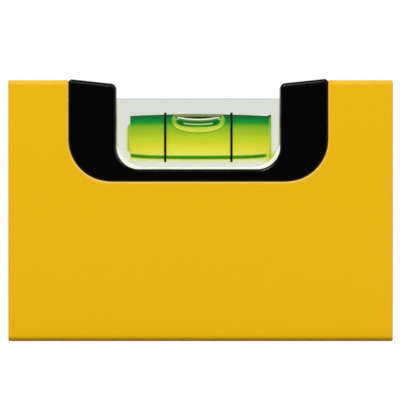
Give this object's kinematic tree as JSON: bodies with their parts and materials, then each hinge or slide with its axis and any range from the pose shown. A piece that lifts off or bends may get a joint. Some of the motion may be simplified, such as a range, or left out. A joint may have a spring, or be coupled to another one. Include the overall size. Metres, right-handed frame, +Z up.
{
  "type": "spirit level",
  "caption": "Short box-section spirit level in yellow, with a clear block vial of green spirit in a black moulded saddle let into its top edge.",
  "frame": {"origin": "middle of the sole, under the middle of the vial", "axes": "+X along the level, +Y from the front face to the rear face, +Z up from the sole to the top face"},
  "size_m": [0.0736, 0.021, 0.05],
  "materials": {
    "yellow_coat": "satin powder coat",
    "saddle_plastic": "satin moulded",
    "clear_acrylic": "polished clear",
    "white_resin": "cured resin",
    "ring_black": "matt",
    "spirit": "clear dyed liquid",
    "air": "clear",
    "plug_plastic": "satin moulded"
  },
  "bodies": {
    "level": {"body_profile": "yellow_coat", "vial_saddle": "saddle_plastic", "vial_block": "clear_acrylic", "vial_end_stopper": "clear_acrylic", "resin_bed": "white_resin", "reading_ring_left": "ring_black", "reading_ring_right": "ring_black", "spirit_fill": "spirit", "end_plug_left": "plug_plastic", "end_plug_right": "plug_plastic"},
    "bubble": {"air_bubble": "air"}
  },
  "joints": [
    {"name": "bubble_travel", "type": "hinge", "parent": "level", "child": "bubble", "pos_m": [-0.00042, 0, -0.2065], "axis": [0, 1, 0], "range_deg": [-1.83, 2.03], "stiffness_Nm_per_rad": 0.001, "deforming": ["spirit_fill"]}
  ]
}
